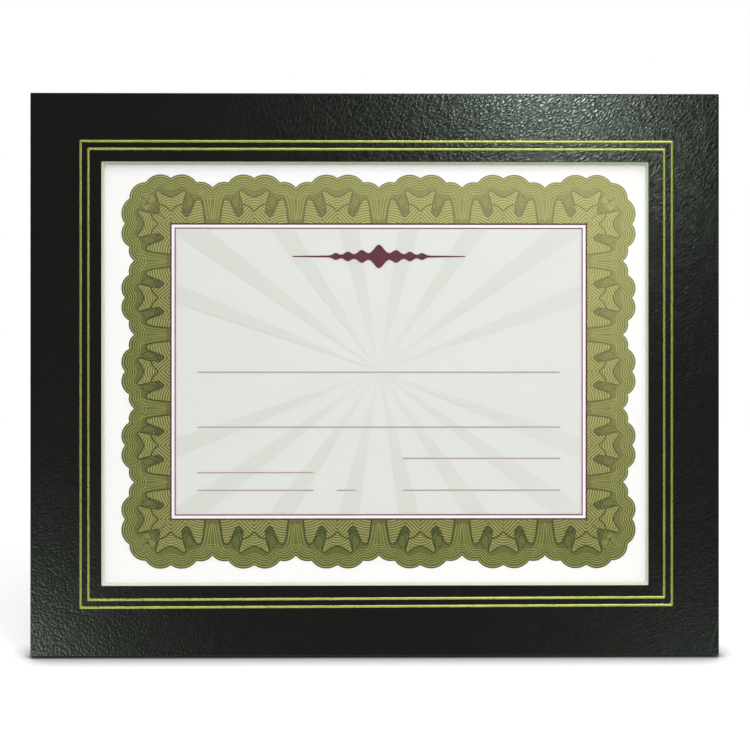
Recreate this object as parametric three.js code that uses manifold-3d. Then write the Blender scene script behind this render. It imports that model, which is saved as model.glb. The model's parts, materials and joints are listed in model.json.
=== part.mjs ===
// Document frame: a covered board frame that holds one printed certificate and stands on an easel leg.
// Millimetres, +Z up. The frame leans back on its leg, its face looks towards -Y, and the origin is the
// middle of the bottom of its bounding box.
//
// Each piece of the panel is drawn in the panel's own frame: x across, y the depth behind the front face,
// z the height above the bottom edge. The panel is leant back only at the end.

import * as THREE from "three";
import { mergeVertices } from "three/addons/utils/BufferGeometryUtils.js";
import Module from "manifold-3d";

// The sheet that the frame is made for
const documentWidth = 279.4;
const documentHeight = 215.9;
const certificateThickness = 0.2;

// The window and the borders round it
const windowLapSide = 3.55;
const windowLapTop = 2.55;
const borderSide = 35.3;
const borderTop = 34.2;
const borderBottom = 35.2;
const windowCornerRadius = 0.5;
const bevel = { left: 1.3, right: 1.0, top: 1.8, bottom: 1.2 };

// Sheet and board thicknesses, and the glue line between two layers
const coverThickness = 0.3;
const frontBoardThickness = 2.0;
const filmThickness = 0.25;
const spacerThickness = 0.8;
const liningThickness = 0.15;
const backBoardThickness = 2.0;
const backPaperThickness = 0.25;
const glueLine = 0.05;

// Margins of the layers
const turnIn = 15;
const mitreSlit = 0.4;
const pocketClearance = 1.05;
const filmMargin = 0.8;
const spacerInset = 2;
const backInset = 0.4;
const backPaperInset = 1.4;
const liningInset = 3;

// The thumb notch at the open end of the pocket
const notchWidth = 30;
const notchReach = 12;

// The two foil rectangles, pressed into the cover
const foilWidth = 1.1;
const foilThickness = 0.05;
const foilGrooveDepth = 0.12;
const foilClearance = 0.05;
const foilSideMargin = 7.2;
const foilTopMargin = 6.35;
const foilSpacing = 3.85;
const foilShift = 0.7;

// The print on the certificate
const inkThickness = 0.06;
const inkGap = 0.04;
const printShiftAcross = 1.8;
const printShiftUp = 1.1;
const panelWidth = 207.3;
const panelHeight = 147.2;
const scallopsAcross = 5;
const scallopsUp = 4;
const scallopMiddle = 22.7;
const scallopJoint = 20.5;
const scallopNotch = 17.9;
const mainLobeShare = 0.62;
const mainLobeRise = 2.8;
const shoulderRise = 1.3;
const cornerLobeWidth = 12.45;
const cornerLobeRise = 2.55;
const keylineWidth = 0.8;
const innerKeylineWidth = 0.5;
const innerKeylineInset = 2.1;
const fieldInset = 3.0;
const rayPlaces = 20;
const rayAngle = 6;
const raySpread = 1.34;
const rayHubRadius = 3;
const rayCentreRise = 0.4;
const ruleThickness = 0.45;
const ruleInset = 13.2;
const ornamentWidth = 86;
const ornamentBead = ornamentWidth * 0.06;
const ornamentTip = ornamentWidth * 0.003;
const ornamentTaper = ornamentWidth * 0.006;
const ornamentDrop = 16.2;

// The easel
const leanAngle = 15;
const openingAngle = 28;
const hingeHeight = 180;
const closedGap = 0.4;
const legBoardThickness = 2.0;
const legCoverThickness = 0.3;
const legTopWidth = 46;
const legFootWidth = 76;
const legTopRadius = 5;
const legFootRadius = 9;
const legTopGap = 0.5;
const legSeamWidth = 0.5;
const legSeamOffset = 6;

// The hinge
const leafThickness = 0.8;
const leafLength = 18;
const leafCornerRadius = 3;
const hingeWidth = 40;
const middleKnuckleLength = 14;
const knuckleGap = 0.3;
const barrelClearance = 0.4;
const pinClearance = 0.1;
const pinHeadRadius = 1.7;
const pinHeadLength = 0.8;
const stopGap = 0.1;

// Rivets: those of the hinge leaves, and the smaller pair that holds the hanger
const hingeRivet = { shank: 1.3, head: 2.6, headHeight: 1.0, tail: 2.1, tailLength: 0.6 };
const hangerRivet = { shank: 0.8, head: 1.7, headHeight: 0.7, tail: 1.3, tailLength: 0.4 };
const rivetClearance = 0.1;
const rivetSpread = 13;
const rivetRowNear = 7;
const rivetRowFar = 13.5;

// The sawtooth hanger
const hangerLength = 46;
const hangerHeight = 10;
const hangerThickness = 0.7;
const hangerTabLength = 8;
const hangerRise = 1.6;
const hangerSlope = 2;
const hangerDrop = 20;
const toothCount = 9;
const toothPitch = 3;
const toothDepth = 2;

// Facets
const cornerSegments = 5;
const lobeSegments = 6;
const roundSegments = 24;
const rivetSegments = 16;
const domeSegments = 4;
const cutMargin = 1;

// What follows from the driving sizes
const windowWidth = documentWidth - 2 * windowLapSide;
const windowHeight = documentHeight - 2 * windowLapTop;
const frameWidth = windowWidth + 2 * borderSide;
const frameHeight = windowHeight + borderTop + borderBottom;
const windowMiddle = borderBottom + windowHeight / 2;
const coverInner = coverThickness + glueLine;
const boardRear = coverInner + frontBoardThickness;
const frontPanelRear = boardRear + glueLine + coverThickness;
const filmFront = boardRear + glueLine;
const filmRear = filmFront + filmThickness;
const upperInkFront = filmRear + inkGap;
const middleInkFront = upperInkFront + inkThickness + inkGap;
const lowerInkFront = middleInkFront + inkThickness + inkGap;
const certificateFront = lowerInkFront + inkThickness + inkGap;
const spacerFront = frontPanelRear + glueLine;
const spacerRear = spacerFront + spacerThickness;
const liningFront = spacerRear + glueLine;
const backBoardFront = liningFront + liningThickness + glueLine;
const backBoardRear = backBoardFront + backBoardThickness;
const panelRear = backBoardRear + glueLine + backPaperThickness;
const pocketWidth = documentWidth + 2 * pocketClearance;
const pocketHeight = documentHeight + 2 * pocketClearance;

const wasm = await Module();
wasm.setup();

const materials = {
  leatherette: finish(0x1d1e1c, 0.55, 0),
  foil: finish(0xb9b84e, 0.35, 0.9),
  core: finish(0xa3ae93, 0.9, 0),
  film: new THREE.MeshStandardMaterial({
    color: 0xf2f5f2, roughness: 0.08, metalness: 0, transparent: true, opacity: 0.15,
  }),
  sheet: finish(0xf6f5f3, 0.8, 0),
  band: finish(0x98984f, 0.8, 0),
  burgundy: finish(0x6d3248, 0.8, 0),
  field: finish(0xe4e8e0, 0.8, 0),
  ray: finish(0xdcddd4, 0.8, 0),
  rule: finish(0xb07c86, 0.8, 0),
  board: finish(0x8d8679, 0.9, 0),
  blackPaper: finish(0x232323, 0.75, 0),
  nickel: finish(0xb9b6ad, 0.3, 1),
};

function finish(color, roughness, metalness) {
  return new THREE.MeshStandardMaterial({ color, roughness, metalness });
}

// Solids: closed geometry to a solid and back

function solidOf(geometry) {
  const bare = geometry.index ? geometry.toNonIndexed() : geometry;
  bare.deleteAttribute("normal");
  bare.deleteAttribute("uv");
  const merged = mergeVertices(bare, 1e-4);
  return new wasm.Manifold(new wasm.Mesh({
    numProp: 3,
    vertProperties: merged.attributes.position.array,
    triVerts: new Uint32Array(merged.index.array),
  }));
}

function geometryOf(solid) {
  const mesh = solid.getMesh();
  return new THREE.BufferGeometry()
    .setAttribute("position", new THREE.BufferAttribute(mesh.vertProperties, 3))
    .setIndex(new THREE.BufferAttribute(mesh.triVerts, 1));
}

function piece(name, solid, material) {
  const geometry = geometryOf(solid).toNonIndexed();
  geometry.computeVertexNormals();
  const mesh = new THREE.Mesh(geometry, material);
  mesh.name = name;
  return mesh;
}

// Outlines, drawn as x across and y up

function rectangle(left, right, low, high) {
  return new THREE.Shape([
    new THREE.Vector2(left, low),
    new THREE.Vector2(right, low),
    new THREE.Vector2(right, high),
    new THREE.Vector2(left, high),
  ]);
}

function centred(width, height, middle) {
  return rectangle(-width / 2, width / 2, middle - height / 2, middle + height / 2);
}

// A closed loop of points with each corner rounded to its own radius.
function roundedLoop(corners, segments = cornerSegments) {
  const points = [];
  corners.forEach(({ x, y, radius }, i) => {
    const here = new THREE.Vector2(x, y);
    const before = corners[(i + corners.length - 1) % corners.length];
    const after = corners[(i + 1) % corners.length];
    const back = new THREE.Vector2(before.x, before.y).sub(here).normalize();
    const ahead = new THREE.Vector2(after.x, after.y).sub(here).normalize();
    const half = Math.acos(THREE.MathUtils.clamp(back.dot(ahead), -1, 1)) / 2;
    const reach = radius / Math.tan(half);
    const centre = back.clone().add(ahead).normalize().multiplyScalar(radius / Math.sin(half)).add(here);
    const start = back.clone().multiplyScalar(reach).add(here).sub(centre);
    const end = ahead.clone().multiplyScalar(reach).add(here).sub(centre);
    const sweep = Math.atan2(start.cross(end), start.dot(end));
    for (let k = 0; k <= segments; k += 1) {
      points.push(start.clone().rotateAround(new THREE.Vector2(), (sweep * k) / segments).add(centre));
    }
  });
  return points;
}

function roundedRectangle(left, right, low, high, radius) {
  return roundedLoop([
    { x: left, y: low, radius },
    { x: right, y: low, radius },
    { x: right, y: high, radius },
    { x: left, y: high, radius },
  ]);
}

function ringShape(outer, inner) {
  const shape = new THREE.Shape(outer.getPoints());
  shape.holes.push(new THREE.Path(inner.getPoints()));
  return shape;
}

// A flat layer of the panel, from one depth to another.
function layer(shape, front, rear) {
  const geometry = new THREE.ExtrudeGeometry(shape, { depth: rear - front, bevelEnabled: false });
  geometry.rotateX(Math.PI / 2);
  geometry.translate(0, rear, 0);
  return solidOf(geometry);
}

// A bar along x whose section is drawn as depth and height.
function barAlongX(section, left, right) {
  const geometry = new THREE.ExtrudeGeometry(section, { depth: right - left, bevelEnabled: false });
  geometry.applyMatrix4(new THREE.Matrix4().makeBasis(
    new THREE.Vector3(0, 1, 0), new THREE.Vector3(0, 0, 1), new THREE.Vector3(1, 0, 0),
  ));
  geometry.translate(left, 0, 0);
  return solidOf(geometry);
}

function rodAlongX(radius, left, right) {
  const geometry = new THREE.CylinderGeometry(radius, radius, right - left, roundSegments);
  geometry.rotateZ(Math.PI / 2);
  geometry.translate((left + right) / 2, 0, 0);
  return solidOf(geometry);
}

// A solid between two loops of as many points, each at its own depth.
function loftedLayer(frontLoop, front, rearLoop, rear) {
  const count = frontLoop.length;
  const faces = THREE.ShapeUtils.triangulateShape(frontLoop, []);
  const positions = [];
  const corner = (loop, depth, i) => positions.push(loop[i % count].x, depth, loop[i % count].y);
  for (const [a, b, c] of faces) {
    corner(frontLoop, front, a);
    corner(frontLoop, front, b);
    corner(frontLoop, front, c);
    corner(rearLoop, rear, a);
    corner(rearLoop, rear, c);
    corner(rearLoop, rear, b);
  }
  for (let i = 0; i < count; i += 1) {
    corner(frontLoop, front, i);
    corner(rearLoop, rear, i + 1);
    corner(frontLoop, front, i + 1);
    corner(frontLoop, front, i);
    corner(rearLoop, rear, i);
    corner(rearLoop, rear, i + 1);
  }
  const geometry = new THREE.BufferGeometry();
  geometry.setAttribute("position", new THREE.Float32BufferAttribute(positions, 3));
  return solidOf(geometry);
}

// The front panel

// The bevelled window. Its sides slope inwards from the face to the board's rear.
function windowCutter() {
  const loopAt = (depth) => {
    const share = depth / boardRear;
    return roundedRectangle(
      -windowWidth / 2 + bevel.left * share,
      windowWidth / 2 - bevel.right * share,
      windowMiddle - windowHeight / 2 + bevel.bottom * share,
      windowMiddle + windowHeight / 2 - bevel.top * share,
      windowCornerRadius,
    );
  };
  const ahead = -cutMargin / 2;
  const behind = boardRear + cutMargin / 2;
  return loftedLayer(loopAt(ahead), ahead, loopAt(behind), behind);
}

function frontBoard() {
  const outline = centred(frameWidth - 2 * coverInner, frameHeight - 2 * coverInner, frameHeight / 2);
  return layer(outline, coverInner, boardRear).subtract(windowCutter());
}

function foilOutline(index, growth) {
  const sideMargin = foilSideMargin + index * foilSpacing + growth;
  const topMargin = foilTopMargin + index * foilSpacing + growth;
  return rectangle(
    foilShift - windowWidth / 2 - sideMargin,
    foilShift + windowWidth / 2 + sideMargin,
    windowMiddle - windowHeight / 2 - topMargin,
    windowMiddle + windowHeight / 2 + topMargin,
  );
}

function foilRing(index, width, front, rear) {
  return layer(ringShape(foilOutline(index, width / 2), foilOutline(index, -width / 2)), front, rear);
}

// One folded sheet: its face, its four edges and the turn-ins glued to the board's rear.
function frontCover() {
  const middle = frameHeight / 2;
  const inside = centred(frameWidth - 2 * coverThickness, frameHeight - 2 * coverThickness, middle);
  const opening = centred(frameWidth - 2 * turnIn, frameHeight - 2 * turnIn, middle);
  const rearLayer = boardRear + glueLine;
  let cover = layer(centred(frameWidth, frameHeight, middle), 0, frontPanelRear)
    .subtract(layer(inside, coverThickness, rearLayer))
    .subtract(layer(opening, rearLayer - glueLine, frontPanelRear + cutMargin))
    .subtract(windowCutter());
  for (const side of [-1, 1]) {
    for (const end of [-1, 1]) {
      const reach = turnIn * Math.SQRT2;
      const slit = new THREE.BoxGeometry(reach, coverThickness + cutMargin, mitreSlit);
      slit.translate(reach / 2 + coverThickness * Math.SQRT2, 0, 0);
      slit.rotateY(Math.atan2(end, -side));
      const slitDepth = rearLayer + (coverThickness + cutMargin) / 2;
      slit.translate((side * frameWidth) / 2, slitDepth, middle + (end * frameHeight) / 2);
      cover = cover.subtract(solidOf(slit));
    }
  }
  for (const index of [0, 1]) {
    cover = cover.subtract(foilRing(index, foilWidth + 2 * foilClearance, -cutMargin, foilGrooveDepth));
  }
  return cover;
}

function foilBorder(index) {
  const rear = foilGrooveDepth - glueLine / 2;
  return foilRing(index, foilWidth, rear - foilThickness, rear);
}

function windowFilm() {
  const outline = centred(documentWidth + 2 * filmMargin, documentHeight + 2 * filmMargin, windowMiddle);
  return layer(outline, filmFront, filmRear);
}

// The certificate's pocket: strips at its top, bottom and closed end, the other end open for loading

function spacers() {
  const left = -frameWidth / 2 + spacerInset;
  const right = frameWidth / 2 - spacerInset;
  const pocketLow = windowMiddle - pocketHeight / 2;
  const pocketHigh = windowMiddle + pocketHeight / 2;
  const strips = {
    spacer_top: rectangle(left, right, pocketHigh, frameHeight - spacerInset),
    spacer_bottom: rectangle(left, right, spacerInset, pocketLow),
    spacer_closed_end: rectangle(left, -pocketWidth / 2, pocketLow + glueLine, pocketHigh - glueLine),
  };
  return Object.entries(strips).map(
    ([name, outline]) => piece(name, layer(outline, spacerFront, spacerRear), materials.board),
  );
}

function certificate() {
  const rear = certificateFront + certificateThickness;
  return layer(centred(documentWidth, documentHeight, windowMiddle), certificateFront, rear);
}

// The print

// Points of an arc from one point to another that rises to the left of its chord, without its first point.
function lobe(from, to, rise) {
  const chord = to.clone().sub(from);
  const half = chord.length() / 2;
  const radius = (half * half + rise * rise) / (2 * rise);
  const outward = new THREE.Vector2(-chord.y, chord.x).normalize();
  const centre = from.clone().add(to).multiplyScalar(0.5).addScaledVector(outward, rise - radius);
  const spoke = from.clone().sub(centre);
  const sweep = -2 * Math.atan2(half, radius - rise);
  return Array.from({ length: lobeSegments }, (_, i) => {
    const turn = (sweep * (i + 1)) / lobeSegments;
    return spoke.clone().rotateAround(new THREE.Vector2(), turn).add(centre);
  });
}

// One side of the scalloped band, from its corner lobe's end to the start of the next one.
function scallopSide(length, count, place) {
  const pitch = length / count;
  const mainWidth = (pitch / 2) * mainLobeShare;
  const points = [place(-cornerLobeWidth, scallopJoint)];
  const add = (x, height, rise) => points.push(...lobe(points.at(-1), place(x, height), rise));
  add(0, scallopMiddle, mainLobeRise);
  for (let k = 0; k < count; k += 1) {
    const start = k * pitch;
    add(start + mainWidth, scallopJoint, mainLobeRise);
    add(start + pitch / 2, scallopNotch, shoulderRise);
    add(start + pitch - mainWidth, scallopJoint, shoulderRise);
    add(start + pitch, scallopMiddle, mainLobeRise);
  }
  add(length + cornerLobeWidth, scallopJoint, mainLobeRise);
  return points;
}

function scallopOutline() {
  const x = panelWidth / 2;
  const y = panelHeight / 2;
  const sides = [
    scallopSide(panelWidth, scallopsAcross, (s, h) => new THREE.Vector2(-x + s, y + h)),
    scallopSide(panelHeight, scallopsUp, (s, h) => new THREE.Vector2(x + h, y - s)),
    scallopSide(panelWidth, scallopsAcross, (s, h) => new THREE.Vector2(x - s, -y - h)),
    scallopSide(panelHeight, scallopsUp, (s, h) => new THREE.Vector2(-x - h, -y + s)),
  ];
  return sides.flatMap((side, i) => {
    const next = sides[(i + 1) % sides.length][0];
    return [...side, ...lobe(side.at(-1), next, cornerLobeRise).slice(0, -1)];
  });
}

function printedPanel(inset) {
  return centred(panelWidth - 2 * inset, panelHeight - 2 * inset, 0);
}

function ink(name, shape, front, material) {
  const mesh = piece(name, layer(shape, front, front + inkThickness), material);
  mesh.position.set(printShiftAcross, 0, windowMiddle + printShiftUp);
  return mesh;
}

function borderPrint() {
  const band = new THREE.Shape(scallopOutline());
  band.holes.push(new THREE.Path(printedPanel(-keylineWidth / 2 - inkGap).getPoints()));
  return ink("border_print", band, lowerInkFront, materials.band);
}

function keyline(name, inset, width) {
  const ring = ringShape(printedPanel(inset - width / 2), printedPanel(inset + width / 2));
  return ink(name, ring, lowerInkFront, materials.burgundy);
}

// A sunburst of tapered beams from one hub, drawn wider than high. The beams nearest the level are
// left out, where the rules run. A beam that ends in a corner of the field fills it.
function rayShape() {
  const centre = new THREE.Vector2(0, rayCentreRise);
  const halfWidth = panelWidth / 2 - fieldInset - inkGap;
  const halfHeight = panelHeight / 2 - fieldInset - inkGap;
  const outward = (angle) => new THREE.Vector2(raySpread * Math.cos(angle), Math.sin(angle));
  const hubPoint = (angle) => outward(angle).multiplyScalar(rayHubRadius).add(centre);
  const edgePoint = (angle) => {
    const toward = outward(angle);
    const across = (halfWidth * Math.sign(toward.x) - centre.x) / toward.x;
    const up = (halfHeight * Math.sign(toward.y) - centre.y) / toward.y;
    return toward.multiplyScalar(Math.min(across, up)).add(centre);
  };
  const step = (2 * Math.PI) / rayPlaces;
  const half = THREE.MathUtils.degToRad(rayAngle) / 2;
  const points = [];
  for (let i = 0; i < rayPlaces; i += 1) {
    const angle = (i + 0.5) * step;
    points.push(hubPoint(angle - half));
    if (Math.abs(Math.sin(angle)) > Math.sin(step)) {
      const [start, end] = [edgePoint(angle - half), edgePoint(angle + half)];
      const turnsCorner = Math.abs(start.x - end.x) > inkGap && Math.abs(start.y - end.y) > inkGap;
      const corner = new THREE.Vector2(halfWidth * Math.sign(start.x), halfHeight * Math.sign(start.y));
      points.push(start, ...(turnsCorner ? [corner] : []), end);
    }
    points.push(hubPoint(angle + half));
  }
  return new THREE.Shape(points);
}

// Rules to write on. Each has its two ends and its height, as shares of the panel's clear width and height.
function writingRules() {
  const places = [
    [0, 1, 0.498],
    [0, 1, 0.312],
    [0, 0.32, 0.158],
    [0, 0.32, 0.098],
    [0.384, 0.438, 0.098],
    [0.566, 1, 0.206],
    [0.566, 1, 0.098],
  ];
  const left = -panelWidth / 2 + ruleInset;
  const span = panelWidth - 2 * ruleInset;
  return places.map(([from, to, up], i) => {
    const height = (up - 0.5) * panelHeight;
    const [start, end] = [from, to].map((share) => left + share * span);
    const bar = rectangle(start, end, height - ruleThickness / 2, height + ruleThickness / 2);
    return ink(`writing_line_${i + 1}`, bar, upperInkFront, materials.rule);
  });
}

// A spindle of beads that thins to both ends, for the heading's place. Each bead is its place along
// the half width, its height as a share of the middle one's, and its width as a share of the half width.
function headingOrnament() {
  const beads = [[0, 1, 0.079], [0.2, 0.5, 0.06], [0.36, 0.365, 0.051], [0.5, 0.25, 0.042]];
  const steps = 96;
  const halfHeight = (share) => {
    const taper = ornamentTip + ornamentTaper * (1 - Math.abs(share));
    return beads.reduce((sum, [place, height, width]) => {
      const away = (Math.abs(share) - place) / width;
      return sum + ornamentBead * height * Math.exp(-away * away);
    }, taper);
  };
  const upper = Array.from({ length: steps + 1 }, (_, i) => {
    const share = 1 - (2 * i) / steps;
    return new THREE.Vector2((share * ornamentWidth) / 2, halfHeight(share));
  });
  const lower = upper.toReversed().map((point) => new THREE.Vector2(point.x, -point.y));
  const shape = new THREE.Shape([...upper, ...lower]);
  const mesh = ink("heading_ornament", shape, upperInkFront, materials.burgundy);
  mesh.position.z += panelHeight / 2 - ornamentDrop;
  return mesh;
}

function printNodes() {
  return [
    borderPrint(),
    keyline("panel_keyline_outer", 0, keylineWidth),
    keyline("panel_keyline_inner", innerKeylineInset, innerKeylineWidth),
    ink("panel_field", printedPanel(fieldInset), lowerInkFront, materials.field),
    ink("panel_rays", rayShape(), middleInkFront, materials.ray),
    ...writingRules(),
    headingOrnament(),
  ];
}

// Rivets. A profile of radius and depth from the flush tail to the top of the domed head.

function rivetProfile(rivet, grip, growth) {
  const { shank, head, headHeight, tail, tailLength } = rivet;
  const dome = Array.from({ length: domeSegments + 1 }, (_, i) => {
    const turn = (Math.PI / 2) * (i / domeSegments);
    return new THREE.Vector2(head * Math.cos(turn), grip + glueLine + headHeight * Math.sin(turn));
  });
  dome.at(-1).x = 0;
  return [
    new THREE.Vector2(0, -growth),
    new THREE.Vector2(tail + growth, -growth),
    new THREE.Vector2(shank + growth, tailLength),
    ...(growth > 0
      ? [new THREE.Vector2(shank + growth, grip + glueLine / 2), new THREE.Vector2(0, grip + glueLine / 2)]
      : [new THREE.Vector2(shank, grip + glueLine), ...dome]),
  ];
}

function turned(profile, x, y, z) {
  const geometry = new THREE.LatheGeometry(profile, rivetSegments);
  geometry.translate(x, y, z);
  return solidOf(geometry);
}

const rivetSolid = (rivet, grip, { x, y, z }) => turned(rivetProfile(rivet, grip, 0), x, y, z);
const rivetHole = (rivet, grip, { x, y, z }) => turned(rivetProfile(rivet, grip, rivetClearance), x, y, z);

const cutAll = (solid, holes) => holes.reduce((left, hole) => left.subtract(hole), solid);

// The hinge and the leg, drawn closed, with the pin's centre at their origin

const legThickness = legBoardThickness + 2 * (legCoverThickness + glueLine);
const barrelRadius = (closedGap + legThickness + leafThickness) / 2;
const pinRadius = barrelRadius - leafThickness - pinClearance;
const pinStandoff = glueLine + barrelRadius;
const legFront = closedGap - pinStandoff;
const legRear = legFront + legThickness;
const legTop = -barrelRadius - legTopGap;
const opening = THREE.MathUtils.degToRad(openingAngle);
const lean = THREE.MathUtils.degToRad(leanAngle);

// The leg reaches the floor with the front edge of its foot when the frame leans on it, fully open.
const pinDepth = panelRear + pinStandoff;
const lift = backBoardRear * Math.sin(lean) - backInset * Math.cos(lean);
const pinHeight = hingeHeight * Math.cos(lean) - pinDepth * Math.sin(lean) + lift;
const legLength = (pinHeight + legFront * Math.sin(opening - lean)) / Math.cos(opening - lean);

// The stop heel: long enough to meet the back leaf when the leg is open.
const heelFace = barrelRadius - leafThickness;
const heelHeight = (heelFace * (1 + Math.cos(opening)) - stopGap) / Math.sin(opening);

const rivetPlaces = [
  { x: -rivetSpread, z: rivetRowNear },
  { x: rivetSpread, z: rivetRowNear },
  { x: 0, z: rivetRowFar },
];

const backRivetGrip = panelRear + glueLine + leafThickness - backBoardFront;
const backRivets = rivetPlaces.map(({ x, z }) => ({ x, y: backBoardFront, z: hingeHeight + z }));
const legRivetGrip = legThickness + glueLine + leafThickness;
const legRivets = rivetPlaces.map(({ x, z }) => ({ x, y: legFront, z: -z }));

const neckReach = barrelRadius + barrelClearance;
const middleHalf = middleKnuckleLength / 2;

// A leaf's plate, clear of the barrel, with its far corners rounded. It points up, or down for the leg.
function leafPlate(front, up) {
  const radius = leafCornerRadius;
  const loop = roundedLoop([
    { x: -hingeWidth / 2, y: neckReach * up, radius: 0.01 },
    { x: hingeWidth / 2, y: neckReach * up, radius: 0.01 },
    { x: hingeWidth / 2, y: leafLength * up, radius },
    { x: -hingeWidth / 2, y: leafLength * up, radius },
  ]);
  return layer(new THREE.Shape(loop), front, front + leafThickness);
}

// A rolled knuckle with the neck that joins it to its leaf.
function knuckle(front, up, left, right) {
  const neckTop = 2 * neckReach * up;
  const neck = rectangle(front, front + leafThickness, Math.min(0, neckTop), Math.max(0, neckTop));
  return rodAlongX(barrelRadius, left, right).add(barAlongX(neck, left, right));
}

const pinBore = () => rodAlongX(pinRadius + pinClearance, -hingeWidth, hingeWidth);

function backLeaf() {
  const front = -barrelRadius;
  const leaf = leafPlate(front, 1)
    .add(knuckle(front, 1, -hingeWidth / 2, -middleHalf - knuckleGap))
    .add(knuckle(front, 1, middleHalf + knuckleGap, hingeWidth / 2))
    .subtract(pinBore());
  const holes = backRivets.map(({ x, y, z }) => (
    rivetHole(hingeRivet, backRivetGrip + cutMargin, { x, y: y - pinDepth, z: z - hingeHeight })
  ));
  return cutAll(leaf, holes);
}

function legLeaf() {
  const front = barrelRadius - leafThickness;
  const heel = rectangle(front, barrelRadius, 0, heelHeight);
  const leaf = leafPlate(front, -1)
    .add(knuckle(front, -1, -middleHalf, middleHalf))
    .add(barAlongX(heel, -middleHalf, middleHalf))
    .subtract(pinBore());
  return cutAll(leaf, legRivets.map((place) => rivetHole(hingeRivet, legRivetGrip + cutMargin, place)));
}

// The pin, with a riveted head at each end.
function hingePin() {
  const end = hingeWidth / 2 + knuckleGap;
  const head = (side) => rodAlongX(pinHeadRadius, Math.min(side * end, side * (end + pinHeadLength)),
    Math.max(side * end, side * (end + pinHeadLength)));
  return rodAlongX(pinRadius, -end - pinHeadLength / 2, end + pinHeadLength / 2).add(head(-1)).add(head(1));
}

function legOutline(inset) {
  const topRadius = legTopRadius - inset;
  const footRadius = legFootRadius - inset;
  return new THREE.Shape(roundedLoop([
    { x: -legFootWidth / 2 + inset, y: -legLength + inset, radius: footRadius },
    { x: legFootWidth / 2 - inset, y: -legLength + inset, radius: footRadius },
    { x: legTopWidth / 2 - inset, y: legTop - inset, radius: topRadius },
    { x: -legTopWidth / 2 + inset, y: legTop - inset, radius: topRadius },
  ]));
}

const legHoles = () => legRivets.map((place) => rivetHole(hingeRivet, legRivetGrip, place));

function legBoard() {
  const inset = legCoverThickness + glueLine;
  return cutAll(layer(legOutline(inset), legFront + inset, legRear - inset), legHoles());
}

// The leg's cover: one sheet wrapped round the board, its edges meeting in a seam on the hidden face.
function legCover() {
  const seam = rectangle(legSeamOffset, legSeamOffset + legSeamWidth, -2 * legLength, 0);
  const wrap = layer(legOutline(0), legFront, legRear)
    .subtract(layer(legOutline(legCoverThickness), legFront + legCoverThickness, legRear - legCoverThickness))
    .subtract(layer(seam, legFront - cutMargin, legFront + legCoverThickness + glueLine));
  return cutAll(wrap, legHoles());
}

// The back panel

// A sheet of the back, with the thumb notch cut in from its open end to reach over the certificate.
function backSheet(inset) {
  const right = frameWidth / 2 - inset;
  const radius = notchWidth / 2;
  const roundCentre = documentWidth / 2 - notchReach + radius;
  const shape = new THREE.Shape();
  shape.moveTo(-frameWidth / 2 + inset, inset);
  shape.lineTo(right, inset);
  shape.lineTo(right, windowMiddle - radius);
  shape.lineTo(roundCentre, windowMiddle - radius);
  shape.absarc(roundCentre, windowMiddle, radius, -Math.PI / 2, -1.5 * Math.PI, true);
  shape.lineTo(right, windowMiddle + radius);
  shape.lineTo(right, frameHeight - inset);
  shape.lineTo(-frameWidth / 2 + inset, frameHeight - inset);
  return shape;
}

const hangerMiddle = frameHeight - hangerDrop;
const hangerRivetGrip = panelRear + glueLine + hangerThickness - backBoardFront;
const hangerRivets = [-1, 1].map((side) => (
  { x: (side * (hangerLength - hangerTabLength)) / 2, y: backBoardFront, z: hangerMiddle }
));

function panelHoles() {
  return [
    ...backRivets.map((place) => rivetHole(hingeRivet, backRivetGrip, place)),
    ...hangerRivets.map((place) => rivetHole(hangerRivet, hangerRivetGrip, place)),
  ];
}

function backBoard() {
  return cutAll(layer(backSheet(backInset), backBoardFront, backBoardRear), panelHoles());
}

function backPaper() {
  return cutAll(layer(backSheet(backPaperInset), panelRear - backPaperThickness, panelRear), panelHoles());
}

function backLining() {
  return layer(backSheet(liningInset), liningFront, liningFront + liningThickness);
}

// The hanger: a pressed strip with flat tabs, a raised middle and teeth along its lower edge.
function sawtoothHanger() {
  const seat = panelRear + glueLine;
  const end = hangerLength / 2;
  const flat = end - hangerTabLength;
  const raised = flat - hangerSlope;
  const sideOf = (depth) => [
    new THREE.Vector2(-end, depth),
    new THREE.Vector2(-flat, depth),
    new THREE.Vector2(-raised, depth + hangerRise),
    new THREE.Vector2(raised, depth + hangerRise),
    new THREE.Vector2(flat, depth),
    new THREE.Vector2(end, depth),
  ];
  const section = new THREE.Shape([...sideOf(seat), ...sideOf(seat + hangerThickness).toReversed()]);
  const strip = new THREE.ExtrudeGeometry(section, { depth: hangerHeight, bevelEnabled: false });
  strip.translate(0, 0, hangerMiddle - hangerHeight / 2);
  const tabs = roundedRectangle(
    -end, end, hangerMiddle - hangerHeight / 2, hangerMiddle + hangerHeight / 2, hangerHeight / 2 - glueLine,
  );
  let hanger = solidOf(strip).intersect(
    layer(new THREE.Shape(tabs), seat - cutMargin, seat + hangerRise + hangerThickness + cutMargin),
  );
  const low = hangerMiddle - hangerHeight / 2;
  for (let i = 0; i < toothCount; i += 1) {
    const x = (i - (toothCount - 1) / 2) * toothPitch;
    const gullet = new THREE.Shape([
      new THREE.Vector2(x - toothPitch / 2, low - glueLine),
      new THREE.Vector2(x + toothPitch / 2, low - glueLine),
      new THREE.Vector2(x, low + toothDepth),
    ]);
    hanger = hanger.subtract(layer(gullet, seat, seat + hangerRise + hangerThickness + cutMargin));
  }
  const holes = hangerRivets.map((place) => rivetHole(hangerRivet, hangerRivetGrip + cutMargin, place));
  return cutAll(hanger, holes);
}

// The assembly

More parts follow.
